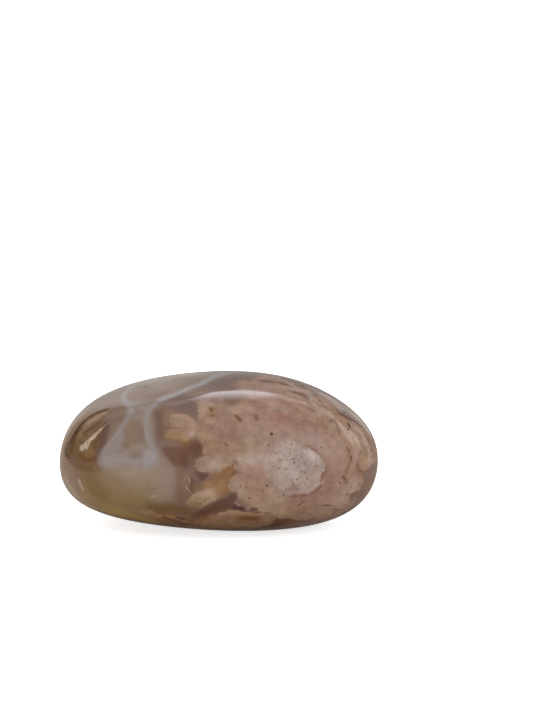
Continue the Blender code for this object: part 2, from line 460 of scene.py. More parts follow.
plume_colour = paint(
    (147, 119, 104),
    # the left lobes: yellowish creams, amber where they thin out
    (1.8, (152, 128, 109), 178, 420, 190, 421), (0.8, (134, 112, 92), 167, 415, 166, 421, 168, 426),
    (0.9, (155, 130, 113), 186, 418, 194, 424), (0.8, (146, 120, 104), 199, 426),
    (1.6, (146, 119, 91), 170, 436, 182, 437), (0.7, (134, 107, 82), 165, 435, 170, 441, 184, 445),
    # the second of these, a cream-white spot on the rounded lobe, is a painted highlight
    (0.8, (132, 99, 66), 180, 443, 186, 443, 193, 439), (0.95, (166, 143, 130), 191.5, 434.5),
    (0.9, (148, 123, 100), 200, 434),
    # the lobes along its top left, and the smoky mauve between them
    (1.2, (158, 137, 118), 204, 405, 203, 409), (0.9, (151, 127, 111), 200, 416),
    (0.8, (165, 144, 129), 206, 401.5, 209, 404.5), (1.1, (142, 114, 91), 211.5, 413, 213, 409),
    (1.2, (152, 128, 111), 212, 422), (1.4, (140, 115, 105), 214, 400, 222, 402, 228, 403),
    (1.3, (143, 116, 104), 221, 412, 224, 420), (1.0, (156, 132, 114), 231, 409, 236, 412),
    (0.9, (151, 125, 107), 239, 403.5, 245, 403), (1.5, (156, 129, 115), 247, 409, 254, 411),
    (1.5, (151, 125, 113), 246, 420, 250, 428), (0.6, (140, 111, 98), 240, 399, 256, 401),
    (1.0, (139, 107, 95), 262, 407, 266, 410), (1.2, (157, 132, 119), 271, 404, 275, 413),
    # its middle
    # first a painted shade along the crease below the top lobes
    (0.75, (134, 107, 94), 200, 422.6, 209, 427, 217, 431), (1.1, (153, 127, 109), 207, 436),
    (1.4, (139, 112, 99), 222, 437, 233, 436, 241, 441), (1.1, (141, 113, 101), 228, 428, 236, 427),
    (1.7, (141, 114, 94), 208, 445, 218, 449), (1.2, (156, 134, 118), 249, 441),
    (1.3, (151, 126, 111), 246, 451, 254, 455), (1.7, (145, 118, 98), 230, 451, 246, 453),
    (0.8, (155, 130, 112), 229, 458), (0.9, (174, 152, 140), 240, 460.5, 244, 461.5),
    (1.6, (143, 119, 104), 202, 464, 218, 466), (0.7, (130, 105, 90), 196.5, 463, 198, 468),
    (0.9, (163, 141, 127), 214, 463, 222, 464.5), (0.5, (118, 98, 82), 235.8, 463),
    (0.8, (150, 120, 95), 226, 468, 231, 471), (0.8, (146, 120, 101), 233, 467),
    (1.9, (151, 126, 112), 258, 434, 266, 441), (1.6, (148, 119, 107), 262, 420, 276, 424),
    (1.5, (153, 127, 115), 270, 430, 275, 444), (1.6, (168, 149, 140), 252, 461, 260, 460, 268, 462),
    (1.2, (161, 139, 129), 261, 467, 264, 473), (0.9, (152, 124, 115), 247, 469),
    (1.6, (148, 117, 104), 256, 473, 264, 479),
    # its rosy right half
    (0.8, (156, 131, 121), 285, 410), (1.9, (141, 109, 96), 279, 417, 292, 424, 308, 422, 316, 428),
    (0.9, (153, 124, 110), 302, 415, 308, 417), (0.9, (158, 132, 119), 314, 414, 323, 413),
    (1.0, (142, 114, 90), 320, 423, 326, 428), (0.7, (156, 133, 121), 331.5, 425),
    (1.0, (147, 118, 103), 295, 410, 300, 412), (2.0, (154, 129, 119), 306, 436, 318, 441, 326, 450),
    (1.5, (153, 127, 117), 287, 433), (1.9, (153, 127, 112), 334, 441, 340, 452, 338, 464),
    (1.6, (141, 109, 98), 327, 470, 331, 478, 322, 490),
    (1.4, (143, 113, 102), 303, 499, 314, 496, 322, 488), (1.6, (153, 125, 111), 340, 490, 336, 500),
    (1.4, (162, 136, 121), 350, 484, 354, 489, 346, 493),
    (1.2, (147, 116, 98), 346, 474, 352, 464, 350, 452), (0.8, (162, 136, 121), 356, 451, 356.5, 458),
    # its cream and tan lower lobes
    (1.7, (159, 134, 117), 233, 486, 240, 491), (0.9, (110, 86, 74), 239.5, 501.5, 245, 505.5),
    (1.6, (155, 129, 109), 250, 500, 262, 504), (1.6, (151, 121, 105), 256, 486),
    (1.3, (155, 131, 113), 272, 495, 280, 498), (1.5, (156, 131, 108), 274, 510, 284, 512),
    (1.5, (142, 111, 91), 293, 508, 306, 511), (0.6, (140, 111, 90), 270, 516, 290, 517, 306, 517),
    (1.2, (148, 121, 101), 324, 512, 330, 514), (1.3, (160, 133, 116), 343, 498, 345, 503, 337, 505),
    # the tan rim on the right
    (0.9, (160, 131, 106), 336, 414, 342, 420, 347, 426),
    (0.7, (118, 87, 74), 339, 413.6, 344, 415.6, 349, 418.6),
    (0.9, (168, 140, 120), 350, 434, 355, 440, 359, 445),
    (0.7, (172, 146, 130), 340, 424, 345, 433, 352, 441),
    (0.95, (172, 147, 130), 355, 428, 361, 433, 366, 443),
    (1.1, (172, 146, 127), 367, 446, 370, 453, 370, 461), (1.0, (152, 123, 98), 364, 456, 366, 465),
    (0.8, (140, 106, 86), 358, 470, 364, 475),
    # the striped fringe over the top
    (1.4, (144, 120, 107), 246, 388, 262, 389, 280, 389, 296, 391, 308, 393.5),
    (0.9, (158, 136, 122), 266, 387, 276, 387.5), (1.3, (150, 125, 109), 240, 382, 252, 381.5),
    (0.7, (114, 86, 68), 262, 381, 274, 382), (0.7, (104, 74, 50), 281, 383, 287, 385),
    (0.6, (166, 143, 128), 284, 387.5, 296, 389.5, 306, 392),
    (0.9, (84, 57, 37), 284, 378.6, 294, 381.4, 304, 385.4), (0.5, (96, 68, 46), 297, 385, 306, 388.6),
    # painted highlight: the edge of the light overhead running on as a pale line
    (0.6, (153, 127, 112), 262, 394, 280, 394.5, 290, 395.5),
    (0.55, (108, 80, 66), 296, 392.5, 303, 395.5, 308, 398.5),
    # painted highlight: the same edge running on as a thin pale line
    (0.5, (170, 146, 132), 283, 397.6, 295, 400.6, 306, 403.6),
    (0.6, (148, 134, 128), 313.5, 394.5, 310.5, 398, 312.5, 403),
    (0.6, (158, 134, 122), 289, 394, 298, 396.6), (0.9, (160, 134, 114), 317, 400, 323, 403, 328, 406),
    (0.5, (98, 70, 52), 315.5, 395.6), (0.9, (150, 122, 101), 333, 410, 338, 415),
    (0.8, (166, 140, 126), 316, 406, 324, 410, 332, 416),
    (near(around(40, 40, 52, 38, 46, 30), 4.0), (146, 118, 100)),
    # the deeper plumes
    (within(AMBER_MASS, 0.3) * (flower < 0), (128, 95, 70)),
    (near(front(219, 477, 227, 478), 1.2) * (flower < 0), (129, 94, 67)),
    (near(front(213, 488, 222, 487), 1.3) * (flower < 0), (142, 111, 80)),
    (within(BOTTOM_LEDGE, 0.3) * (flower < 0), (136, 105, 80)),
    (0.6, (150, 122, 102), 222, 513, 240, 512, 262, 513.5),
    (near(front(190, 519.5, 204, 516), 1.0) * (flower < 0), (114, 78, 46)),
    (near(front(243, 518.5, 255, 518.8), 0.8) * (flower < 0), (110, 71, 45)),
    (within(CREAM_LOBE, 0.3), (150, 125, 101)), (0.9, (166, 141, 122), 203, 494.5, 211, 493.5),
    (0.6, (138, 111, 84), 189, 503, 200, 507), (within(CRUMBS, 0.4), (142, 113, 80)),
    (within(SMALL_CRUMBS, 0.3), (136, 98, 58)),
    # the plumes out of sight
    (within(BACK_FLOWER, 0.5), (150, 122, 106)), (near(around(146, 26, 138, 36), 3.5), (140, 110, 96)),
    (near(around(104, 24, 104, -6), 3.0), (158, 132, 114)), (within(UNDER_FLOWER, 0.6), (142, 111, 90)),
    (near(around(0, -60, 60, -76), 4.0), (126, 92, 72)),
)
white_colour = paint(
    (164, 147, 139),
    (2.0, (172, 157, 148), 285, 452, 291, 464), (1.0, (156, 138, 128), 304, 478),
    (1.4, (165, 147, 140), 274, 456, 278, 449), (1.4, (157, 141, 135), 299, 458, 304, 466),
    (0.7, (156, 134, 123), 317, 468, 313, 474), (0.9, (172, 154, 147), 318.5, 459),
    (0.6, (184, 170, 163), 311, 453.6, 314.5, 460), (0.5, (172, 158, 152), 305, 451),
    (0.6, (165, 145, 135), 317, 480, 310, 486), (0.7, (166, 145, 135), 298, 491, 306, 490),
    (0.9, (153, 129, 118), 278, 491, 288, 490, 296, 488.6), (1.2, (157, 136, 127), 272, 470, 276, 480),
    (0.5, (166, 148, 139), 276, 487, 286, 485.5),
)

# ---------------------------------------------------------------- the markings: the clear stone

FIRST_BAND = join(
    around(140, -4, 146, 10, 144, 22, 150, 31),
    front(
        140.5, 380.5, 135.4, 385.5, 129, 391.2, 123.8, 396.8, 127, 402, 130.8, 406.5, 130.6, 412, 128, 418,
        122, 427, 115.5, 436.5, 109, 445, 103.7, 452, 100, 460,
    ),
)
FAN = front(
    131.5, 409, 131, 416, 127, 423, 125.5, 430, 125, 438, 122.5, 445, 122, 450, 112, 454, 100, 461,
    100, 456, 106, 447, 114, 437, 121, 427.5, 126, 419, 129, 413,
)
SECOND_BAND = join(
    around(96, 28, 90, 42, 82, 54, 74, 63),
    front(
        230, 372.3, 216, 375.6, 208, 380, 200, 384.2, 189.4, 388.4, 180, 392.4, 170, 396.3, 160, 400,
        153, 405, 148, 410.5, 145.6, 417, 145.2, 424, 146.3, 432, 147.4, 439, 149.5, 445, 153, 450,
        156, 454.5,
    ),
)
CROSS_BAND = front(
    98, 463, 100, 457, 108, 452.5, 120, 451.5, 131, 456, 141, 456.5, 146, 453, 149, 447.5, 155, 450,
    158.5, 454.5, 157, 460.5, 150, 464.5, 138, 466, 120, 467, 107, 467,
)
BACK_BANDS = (
    around(172, -4, 162, -12, 150, -30, 146, -44, 160, -58),
    around(96, 28, 86, 15, 90, -2, 82, -16, 88, -34),
)
milk = highest(
    hill(SECOND_BAND, 0.45, 0.95) * 0.62, hill(SECOND_BAND, 0.3, 1.6) * 0.18,
    hill(front(224, 373.4, 210, 379, 201, 383.8, 189, 388.6, 174, 394.8, 160, 400), 1.1, 0.9) * 1.1,
    hill(FIRST_BAND, 0.8, 0.7) * 0.55,
    hill(front(138, 382, 123.5, 396.5, 130.5, 406, 130, 414), 0.7, 0.7) * 0.75, within(FAN, 0.9) * 0.33,
    hill(front(125.5, 426, 122, 432, 121, 440), 1.6, 0.5) * 0.4,
    hill(front(106, 446, 102, 452, 99, 459), 0.4, 1.6) * 0.4, within(CROSS_BAND, 0.9) * 0.55,
    hill(front(103, 458, 113, 458, 124, 459, 134, 460.5, 143, 460, 150, 456.5, 152, 452), 1.3, 0.6) * 0.7,
    near(front(147, 455, 152, 453, 153, 459, 146, 461), 1.3) * 0.85,
    *(hill(path, 0.6, 0.9) * 0.6 for path in BACK_BANDS), near(around(72, 22, 62, 6, 66, -12), 6.0) * 0.3,
    near(around(160, 30, 166, 44), 5.0) * 0.3,
)
milk_layers = np.minimum(away_from(curve_through(SECOND_BAND))[0], away_from(curve_through(FIRST_BAND))[0])

POCKET = front(
    161, 448, 169, 446.5, 178, 446.5, 187, 444.5, 195.9, 440, 201, 444, 203, 450, 200.5, 456, 195.9, 460,
    194, 464, 187.5, 467.5, 176, 466.5, 169, 459.6, 163.5, 453,
)
CURTAIN = front(
    187.6, 457, 191, 457.5, 195.9, 461.4, 196.5, 466.8, 198.8, 472.2, 200.8, 479, 201.5, 484, 196, 481,
    191.5, 474, 188.7, 466.8,
)
VEIL = front(184.5, 470, 187, 471, 187.5, 477, 185.5, 485, 187.5, 492, 184, 494, 181.5, 486, 183, 477)
RECESS = front(200.4, 471, 209.4, 473.5, 206, 479, 201, 484.5, 194.5, 490.5, 189.5, 486, 190, 477, 196, 480)
GAP = front(
    234.5, 492, 238, 500, 234.5, 503.6, 245.3, 507.2, 243, 510.5, 230, 510, 221, 512.3, 210.3, 515,
    200.4, 517, 191, 518, 197, 511, 206, 506.5, 215.7, 500.5, 222.8, 498, 229, 494.5,
)
STRIP = join(
    front(267, 526, 274.5, 520.5, 279, 516, 290, 516, 300, 517, 315, 516, 328, 514, 334, 516),
    around(-66, -38, -78, -44),
)
MILK_CLOUD = front(
    104, 466, 116, 464, 135, 465, 155, 461, 165, 461, 173, 466, 176.5, 475, 177, 486, 173, 499, 160, 504,
    145, 500, 133, 494, 124, 484, 113, 477,
)
CURL = front(
    164, 413, 168, 409.8, 174, 409.5, 172, 413.5, 169, 418, 169, 424, 171, 428, 165.5, 424, 163, 418,
)

# dusky beside the brown patch
TRIANGLE = front(109, 423, 109, 430, 107, 439, 103, 450, 99, 461.5, 94, 462, 96, 450, 98, 438, 101, 428)

body_colour = paint(
    (120, 97, 84),
    # the smoky top and the grey shoulder on the left
    (near(around(-170, 50, 150, 60, 120, 76), 9.0), (136, 117, 103)),
    (6.0, (129, 110, 97), 100, 402, 116, 396), (4.0, (141, 125, 112), 150, 384, 172, 381, 205, 375),
    (2.8, (182, 169, 159), 150, 378, 172, 375.5, 192, 373.5),
    (2.8, (119, 102, 98), 212, 386, 225, 382, 238, 378, 250, 375),
    (1.3, (126, 102, 84), 144, 387, 148, 389), (1.8, (132, 111, 98), 135, 392, 140, 400),
    (1.0, (128, 107, 94), 165, 392, 150, 396), (2.0, (137, 125, 118), 135, 403, 144, 409, 139, 417),
    (1.2, (120, 102, 94), 176, 398, 190, 399),
    # between the milky bands
    (1.6, (127, 110, 96), 136, 425, 137, 434, 137, 444), (0.5, (133, 112, 94), 130, 424, 131.5, 444),
    (2.0, (124, 104, 92), 114, 415, 112, 428), (0.9, (104, 82, 67), 105, 424, 103, 440, 98, 456),
    (2.0, (131, 116, 107), 118, 440, 112, 449), (1.0, (135, 121, 109), 126, 452, 134, 449, 141, 447),
    # dusky beside the second band and round the flower
    (1.3, (140, 123, 112), 152, 414, 153.5, 432, 157, 446),
    (1.5, (112, 88, 75), 158, 412, 160, 428, 162, 444), (0.9, (124, 102, 92), 163, 443, 172, 445, 180, 446),
    (2.4, (116, 96, 91), 175, 402, 190, 407, 194, 412), (1.2, (120, 100, 90), 162, 405, 175, 403),
    (within(MILK_CLOUD, 1.2) * 0.9, (137, 121, 107)),
    (near(front(108, 468, 120, 471, 135, 472), 1.4) * 0.8, (139, 125, 113)),
    (near(front(135, 484, 150, 490, 160, 494), 2.2) * 0.8, (134, 116, 93)),
    (1.8, (136, 119, 107), 162, 466, 168, 478, 168, 492),
    # the honey end
    (1.8, (110, 85, 60), 78, 468, 91, 470, 84, 477), (1.2, (106, 84, 56), 88, 475, 96, 480),
    (1.3, (150, 134, 116), 66, 478, 73, 491, 83, 501), (1.6, (138, 118, 88), 87, 494, 97, 500),
    (near(around(176, 18, -178, 2, -176, -8), 4.5), (98, 71, 42)),
    (2.6, (114, 87, 53), 94, 486, 104, 491, 112, 491), (1.8, (126, 106, 82), 108, 480, 116, 484),
    (2.4, (131, 110, 79), 116, 500, 130, 498, 140, 502), (2.0, (140, 120, 86), 88, 504, 100, 509, 120, 512),
    (2.0, (157, 128, 80), 112, 512, 136, 517.5, 150, 521),
    (1.3, (110, 82, 54), 152, 508, 170, 508, 188, 511), (1.4, (130, 94, 60), 160, 518, 172, 521, 188, 523),
    (0.8, (106, 70, 26), 158, 515, 168, 516.5), (0.5, (88, 54, 27), 170, 516.4, 184, 519.4),
    (1.2, (92, 58, 34), 196, 529, 215, 530, 232, 531),
    (near(around(-150, -50, -120, -62), 8.0), (108, 78, 48)),
    # the rosy pocket behind the flower, its folds and the dark gaps
    (1.7, (113, 88, 76), 184, 472, 183, 486, 182, 498), (within(POCKET, 0.4), (110, 82, 71)),
    (1.0, (94, 67, 54), 193, 446, 198, 447, 199, 452), (0.8, (108, 80, 62), 186, 445, 193, 442),
    (1.2, (101, 71, 61), 184, 457, 185.5, 465), (within(RECESS, 0.4), (94, 68, 57)),
    (0.8, (92, 62, 54), 204.5, 475), (0.8, (122, 91, 66), 197, 487),
    (within(CURTAIN, 0.35) * 0.75, (111, 88, 76)), (0.8, (84, 56, 48), 199.5, 472, 203.5, 474.5),
    (within(VEIL, 0.6) * 0.35, (134, 114, 101)), (within(CURL, 0.35) * 0.6, (134, 110, 96)),
    (within(GAP, 0.4), (98, 72, 61)), (1.0, (90, 62, 45), 202, 513, 206, 511.5),
    (0.9, (97, 68, 52), 213, 509.5, 218, 507), (0.7, (72, 50, 48), 236, 507, 243, 508.5),
    (near(front(236, 499, 232, 496), 0.9) * 0.6, (96, 72, 68)), (0.9, (88, 63, 55), 253, 509),
    (within(STRIP, 0.4), (98, 62, 46)), (1.6, (152, 124, 108), 318, 519, 334, 515, 350, 505),
    # the right end outside the flower
    (near(around(-6, -12, -18, -26, -36, -34), 3.2), (148, 122, 108)),
    (near(around(6, 22, -4, 16), 3.0), (126, 103, 92)),
    (1.6, (160, 140, 126), 322, 394, 330, 399, 339, 407),
    (1.1, (168, 147, 129), 354, 415, 361, 421, 367, 429, 371, 437, 373, 444),
    # the back: bluish grey and clear under the flowers, honey low down
    (near(around(34, 30, 26, 6, 34, -10), 7.0), (112, 92, 84)),
    (near(around(60, 24, 56, 0), 7.0), (134, 119, 110)),
    (near(around(160, 12, 164, -10, 150, -24), 7.0), (124, 101, 78)),
    (near(around(80, 8, 70, -4, 52, -6), 6.0), (126, 108, 98)),
    (near(around(178, 0, 168, 10), 5.0), (118, 94, 76)),
    (near(around(170, -32, 140, -50, 110, -40), 8.0), (112, 84, 54)),
    (near(around(92, -20, 96, -4), 2.5), (104, 76, 63)),
    (near(around(24, -22, 30, -10), 4.0), (104, 74, 60)), (within(TRIANGLE, 0.6) * 0.85, (98, 76, 64)),
)

# The brown patch on the left end: fibrous, with a dark rim, and across it a pale streak that is a painted
# highlight, the glint of a light.
BROWN_PATCH = join(
    front(65, 452, 67, 445, 70, 440, 75, 432, 81, 424, 88, 417, 96, 412, 107, 409),
    front(
        109, 411, 107.5, 414.5, 103, 419, 101, 428, 99, 440, 97, 452, 94, 462, 84, 462, 77, 460.5,
        72, 457.5,
    ),
)
# the pale streak: a painted highlight, the glint of a light on the patch's crinkled surface
GLINT_STREAK = front(
    110, 421.6, 104.5, 425.4, 98, 430.4, 91, 436.2, 85.6, 441, 80.6, 446, 79.6, 450, 82.5, 451.6, 85, 449.4,
    87.4, 450.4, 89, 446, 91, 442.4, 95.4, 438, 98.8, 433.4, 104, 428,
)
patch_colour = paint(
    (110, 87, 65),
    (1.5, (145, 122, 104), 86, 424, 93, 419, 105, 413),
    (0.9, (124, 100, 76), 83, 433, 79, 437), (0.6, (94, 68, 44), 86, 432, 93, 427.5, 99, 423, 105, 418),
    (0.9, (94, 68, 42), 74, 441, 72, 449), (0.9, (78, 56, 38), 66, 450, 69, 443, 75, 434, 81, 426),
    (0.5, (92, 70, 52), 81, 426, 88, 419, 98, 413, 107, 410), (0.9, (122, 94, 62), 86, 454, 92, 450),
    (0.9, (98, 73, 50), 96, 446, 100, 436), (0.7, (103, 76, 46), 79, 456, 86, 459.5, 94, 459),
)

# Lines, drawn at their true width: dark seams, painted shade in the brown creases between lobes, pale veins
# and a painted glint.
SEAMS = (
    (
        front(65.5, 453, 66.5, 447, 70.5, 440, 75.5, 433, 80.5, 425.5, 86, 419),
        0.25, 0.5, 0.3, 0.45, 0.3, 0.16,
    ),
    (front(86, 419, 92, 414.5, 99, 411.2, 107, 409), 0.2, 0.16, 0.2),
    (front(66, 453, 69, 457, 74, 458.5), 0.25, 0.2, 0.08),
    (front(338, 413, 342, 415, 346.5, 417.6, 351, 420, 356.5, 422.8), 0.2, 0.3, 0.25, 0.25, 0.2),
    (front(356.5, 422.8, 361, 427, 367, 433.4, 371, 438, 374, 444), 0.2, 0.12, 0.1, 0.12, 0.05),
    (front(189.5, 488, 191.5, 490.5, 195.5, 492.8), 0.05, 0.12, 0.05),
    (front(165, 517, 172, 520.5, 181, 523, 200, 526), 0.1, 0.25, 0.3, 0.35),
    (front(322, 505.2, 327, 504.6, 332.5, 505.6), 0.1, 0.2, 0.1),
    (front(299, 504.8, 301.5, 503), 0.14, 0.1),
)
# painted shade in the creases where lobes meet
CREASE_SHADES = (
    (front(169, 428, 175, 427.4, 181, 427.4), 0.12, 0.18, 0.08),
    (front(231, 473.8, 236, 472, 242.5, 473.2), 0.2, 0.5, 0.15),
    (front(199, 457, 203, 455, 209, 456), 0.1, 0.2, 0.1),
    (
        front(346.5, 447, 350, 454, 351.5, 458.5, 349, 465, 346, 473, 343, 479),
        0.25, 0.4, 0.3, 0.3, 0.5, 0.3,
    ),
    (front(359, 459.5, 357, 464, 358.5, 469, 363, 472), 0.2, 0.45, 0.3, 0.2),
    (front(342, 476.5, 345.5, 479, 346.5, 484), 0.2, 0.4, 0.15),
    (front(327.5, 422.6, 331.5, 420.4, 335.5, 422.4, 338, 427, 339, 433), 0.25, 0.35, 0.35, 0.2, 0.25),
    (
        front(284.5, 496.2, 293, 496.2, 302, 495.8, 308, 495.4, 315, 491.4, 321, 485.5),
        0.1, 0.3, 0.3, 0.3, 0.35, 0.2,
    ),
    (front(326, 471, 322.5, 475, 321.5, 480), 0.2, 0.4, 0.2),
    (front(304, 447, 309, 446.8, 315, 450.5, 319, 455), 0.1, 0.25, 0.2, 0.1),
    (front(346, 494.5, 352, 495, 357, 492.5), 0.2, 0.4, 0.2),
    (front(334, 514, 334.5, 509.5, 341, 509.8), 0.2, 0.35, 0.2),
    (front(244, 511.2, 252, 512.4, 262, 512.6), 0.15, 0.3, 0.15),
    (front(146, 482, 148.5, 486.5, 152.5, 489, 157, 487.4), 0.06, 0.16, 0.06),
    (around(104, 40, 118, 30, 126, 14, 122, 2), 0.2, 0.5, 0.4, 0.2),
    (around(140, 38, 144, 28, 138, 16), 0.2, 0.5, 0.2), (around(20, 24, 36, 26, 50, 22), 0.2, 0.5, 0.2),
)
VEINS_AND_GLINT = (
    (front(187.6, 476.5, 189.8, 480.5, 189, 484.5), 0.05, 0.17, 0.06),
    (front(186, 485.4, 187.4, 488.4, 190.6, 491.6), 0.06, 0.2, 0.06),
    (front(276, 383, 280, 386, 288, 386, 293, 385), 0.1, 0.25, 0.2, 0.15),
    (front(283, 380, 289, 383.4, 294, 387, 301, 390.5, 310, 392.6), 0.1, 0.3, 0.2, 0.3, 0.15),
    (front(354, 421.8, 360, 427.5, 365.5, 433.5, 369, 438), 0.15, 0.3, 0.22, 0.1),
    (front(367, 428, 371, 434, 374, 441), 0.3, 0.4, 0.3),
    # a pale band at the lower left end: painted highlight, the glint on a small nick
    (front(79.4, 480, 81.4, 485, 84, 491.4), 0.45, 0.45, 0.12),
    (front(151, 497, 153.5, 495.8, 157, 496.6), 0.1, 0.25, 0.1),
    (front(322.4, 483.6, 323.8, 480.6), 0.28, 0.24), (front(94.5, 467, 96.8, 472), 0.06, 0.06),
    (front(166.5, 515.5, 176, 518.4, 188, 521.4), 0.08, 0.15, 0.1),
    (front(150, 395.4, 156, 393.4, 164, 392), 0.05, 0.15, 0.05),
)

speckles = sum([
    smooth_step(white, 0.5, 1.6) * 0.5, near(front(322, 408, 338, 418, 349, 426, 360, 440), 1.8) * 0.8,
    near(front(370, 442, 370, 452, 367, 462), 2.0), near(front(278, 380, 292, 382, 306, 388), 1.5),
    near(front(284, 394, 304, 398), 1.0) * 0.7, near(front(345, 476, 350, 488), 1.8) * 0.5,
    near(front(318, 424, 332, 436), 2.0) * 0.5, near(front(285, 505, 310, 512), 2.2) * 0.4,
    near(front(198, 503), 1.2) * 0.5, near(front(190, 525, 205, 527), 1.5),
    near(around(60, 40, 40, 34), 4.0) * 0.6, smooth_step(hidden[0], 0.5, 3.0) * 0.25,
])

fields = dict(
    plume=plume, blur=blur, white=white, white_blur=white_blur, milk=milk, milk_layers=milk_layers,
    brown_patch=depth_in(BROWN_PATCH), glint_streak=depth_in(GLINT_STREAK), speckles=np.clip(speckles, 0, 1),
)
for name, rows in (("seam", SEAMS), ("crease_shade", CREASE_SHADES), ("vein_and_glint", VEINS_AND_GLINT)):
    fields[name + "_side"], fields[name + "_half"] = strokes(*rows)
colour_fields = dict(
    body_colour=body_colour, plume_colour=plume_colour,
    white_colour=white_colour, patch_colour=patch_colour,
)

# Single spots: for each kind its colour and how soft its edge is in mm, then x and y in the picture and the
# radius in mm of each spot in turn.
SPOTS = {
    "black": ((56, 38, 26), 0.1,
        271.5, 433.9, 0.32, 249.6, 497.8, 0.2, 266.8, 485.4, 0.22, 283.5, 494.4, 0.2, 316.3, 510.2, 0.2,
        303.4, 502, 0.18, 299.4, 504.7, 0.16, 301, 503.5, 0.12, 339.4, 482.8, 0.2, 294, 462.6, 0.14,
        348.6, 424, 0.36, 349.4, 426.4, 0.42, 348, 429.4, 0.28, 257.4, 521.5, 0.24, 171.6, 520, 0.28,
        302.4, 385.9, 0.3, 290, 381.4, 0.25, 358.8, 483.8, 0.18, 196.8, 503.2, 0.16, 200.4, 503.6, 0.15,
        84.6, 422.5, 0.22, 82.5, 429.2, 0.18, 85.5, 491.4, 0.16, 319.5, 400.4, 0.3, 178, 521.5, 0.16,
        344.5, 412.6, 0.3, 333.7, 413.7, 0.2, 205, 500.4, 0.12,
    ),
    "brown": ((98, 70, 50), 0.14,
        268.4, 445.1, 0.2, 285.9, 442.3, 0.16, 291.7, 444.2, 0.14, 225.2, 443.6, 0.2, 227, 445, 0.22,
        240.6, 486, 0.16, 246.5, 487, 0.16, 262.6, 491.2, 0.15, 303.5, 416.3, 0.18, 321.4, 447.1, 0.18,
        343, 476.6, 0.24, 345, 479, 0.24, 345.6, 482, 0.16, 362, 486.4, 0.26, 305.5, 509, 0.15,
        302.4, 514, 0.15, 210, 497.5, 0.12, 184.8, 421.7, 0.16, 174.5, 380, 0.2, 145, 386.8, 0.4,
        280.3, 460.2, 0.17, 276.5, 453.4, 0.15, 291, 480, 0.15, 293, 482.8, 0.14, 305, 472.5, 0.14,
        302, 471.8, 0.13, 307.4, 478.4, 0.14, 304.4, 464, 0.15, 361.4, 452.3, 0.2, 297, 479.4, 0.14,
        353, 426.6, 0.16, 359, 439, 0.22, 360, 443, 0.2, 326.6, 428, 0.16, 331.5, 435.8, 0.15,
        320, 406.6, 0.2, 326.6, 406.6, 0.16, 336.4, 409.4, 0.22, 368, 440.4, 0.3, 371, 450, 0.3,
        370.4, 457, 0.26, 357.4, 464.4, 0.24, 351, 458, 0.3, 283, 381.6, 0.2, 296, 383.6, 0.24,
        306, 388.5, 0.22, 311, 389.8, 0.22, 275, 379.6, 0.18, 292, 385.6, 0.16, 287.6, 379.4, 0.24,
        322, 402, 0.18, 309, 399, 0.16, 341, 421, 0.2, 353, 437, 0.2,
    ),
    "rusty": ((112, 74, 48), 0.2,
        236.2, 415.6, 0.32, 237.4, 417, 0.4, 239, 418.8, 0.44, 240.4, 420.4, 0.34, 210.4, 408.2, 0.32,
        211.2, 409.8, 0.38, 212, 411.4, 0.22, 212.6, 415.8, 0.3, 232.4, 465.6, 0.22, 229, 469.5, 0.14,
    ),
    "mauve": ((124, 99, 94), 0.3, 312.4, 410.4, 0.55, 309.4, 408.6, 0.4),
    "tan brown": ((120, 89, 74), 0.25, 256, 416.4, 0.42, 256.8, 419, 0.46),
    "olive": ((124, 106, 78), 0.12,
        285.4, 469.8, 0.12, 286.8, 468.4, 0.12, 282.6, 454, 0.1, 284.2, 455.6, 0.1, 285.8, 457, 0.1,
        297, 455.2, 0.13, 290, 449, 0.13, 290, 451.4, 0.12, 289.6, 453.6, 0.1, 293.4, 459.6, 0.12,
        278, 462.4, 0.13, 299.6, 471.6, 0.14, 279.4, 468.4, 0.1, 306, 486, 0.14, 309, 486, 0.1,
        304.4, 483.4, 0.14, 295.4, 451.6, 0.12, 301.4, 456.4, 0.12, 286, 481.4, 0.12,
    ),
}

# ---------------------------------------------------------------- the skin


def make_skin():
    points = skin.copy()
    points[:, 2] = np.maximum(points[:, 2], REST_LEVEL)
    mesh = bpy.data.meshes.new("agate_skin")
    mesh.from_pydata((points + HEART) * MM, [], skin_faces)
    mesh.shade_smooth()
    for name, values in fields.items():
        kept = mesh.attributes.new(name, "FLOAT", "POINT").data
        kept.foreach_set("value", np.asarray(values, np.float32))
    for name, values in colour_fields.items():
        colours = np.column_stack([values, np.ones(len(values))]).astype(np.float32)
        mesh.attributes.new(name, "FLOAT_COLOR", "POINT").data.foreach_set("color", colours.ravel())
    piece = put("agate_skin", mesh)
    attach(piece, "root")
    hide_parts("stone")
    return piece


